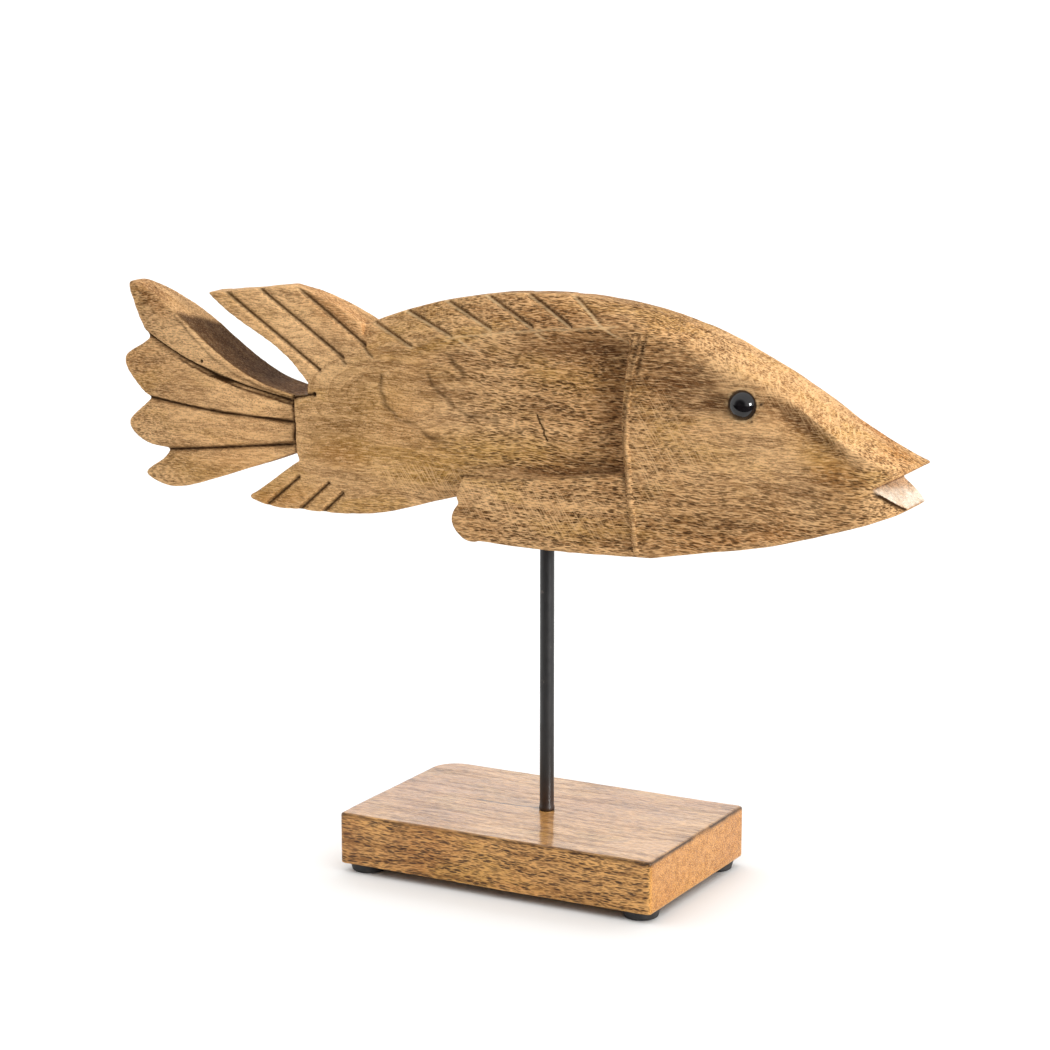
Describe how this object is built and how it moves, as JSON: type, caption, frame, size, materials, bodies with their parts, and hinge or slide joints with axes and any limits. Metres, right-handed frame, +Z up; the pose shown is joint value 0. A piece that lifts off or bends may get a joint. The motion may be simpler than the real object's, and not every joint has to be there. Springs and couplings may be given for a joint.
{
  "type": "fish figurine",
  "caption": "Carved wooden fish with nail eyes that turns on an iron rod standing in a wooden block on rubber feet.",
  "frame": {"origin": "on the table, under the middle of the fish's length and of the base's width", "axes": "+X towards the fish's nose, +Y to the fish's left, +Z up"},
  "size_m": [0.3738, 0.089, 0.2453],
  "materials": {
    "carved_wood": "oiled, hand carved",
    "base_wood": "varnished",
    "black_iron": "blackened, satin",
    "eye_black": "gloss",
    "foot_rubber": "matt",
    "zinc_steel": "zinc plated"
  },
  "bodies": {
    "stand": {"base_block": "base_wood", "stand_rod": "black_iron", "rod_washer": "zinc_steel", "rod_nut": "zinc_steel", "front_left_foot": "foot_rubber", "front_right_foot": "foot_rubber", "rear_left_foot": "foot_rubber", "rear_right_foot": "foot_rubber"},
    "fish": {"fish_carving": "carved_wood", "left_eye": "eye_black", "right_eye": "eye_black"}
  },
  "joints": [
    {"name": "fish_swivel", "type": "hinge", "parent": "stand", "child": "fish", "pos_m": [0.02055, 0, 0.1836], "axis": [0, 0, 1], "continuous": true}
  ]
}
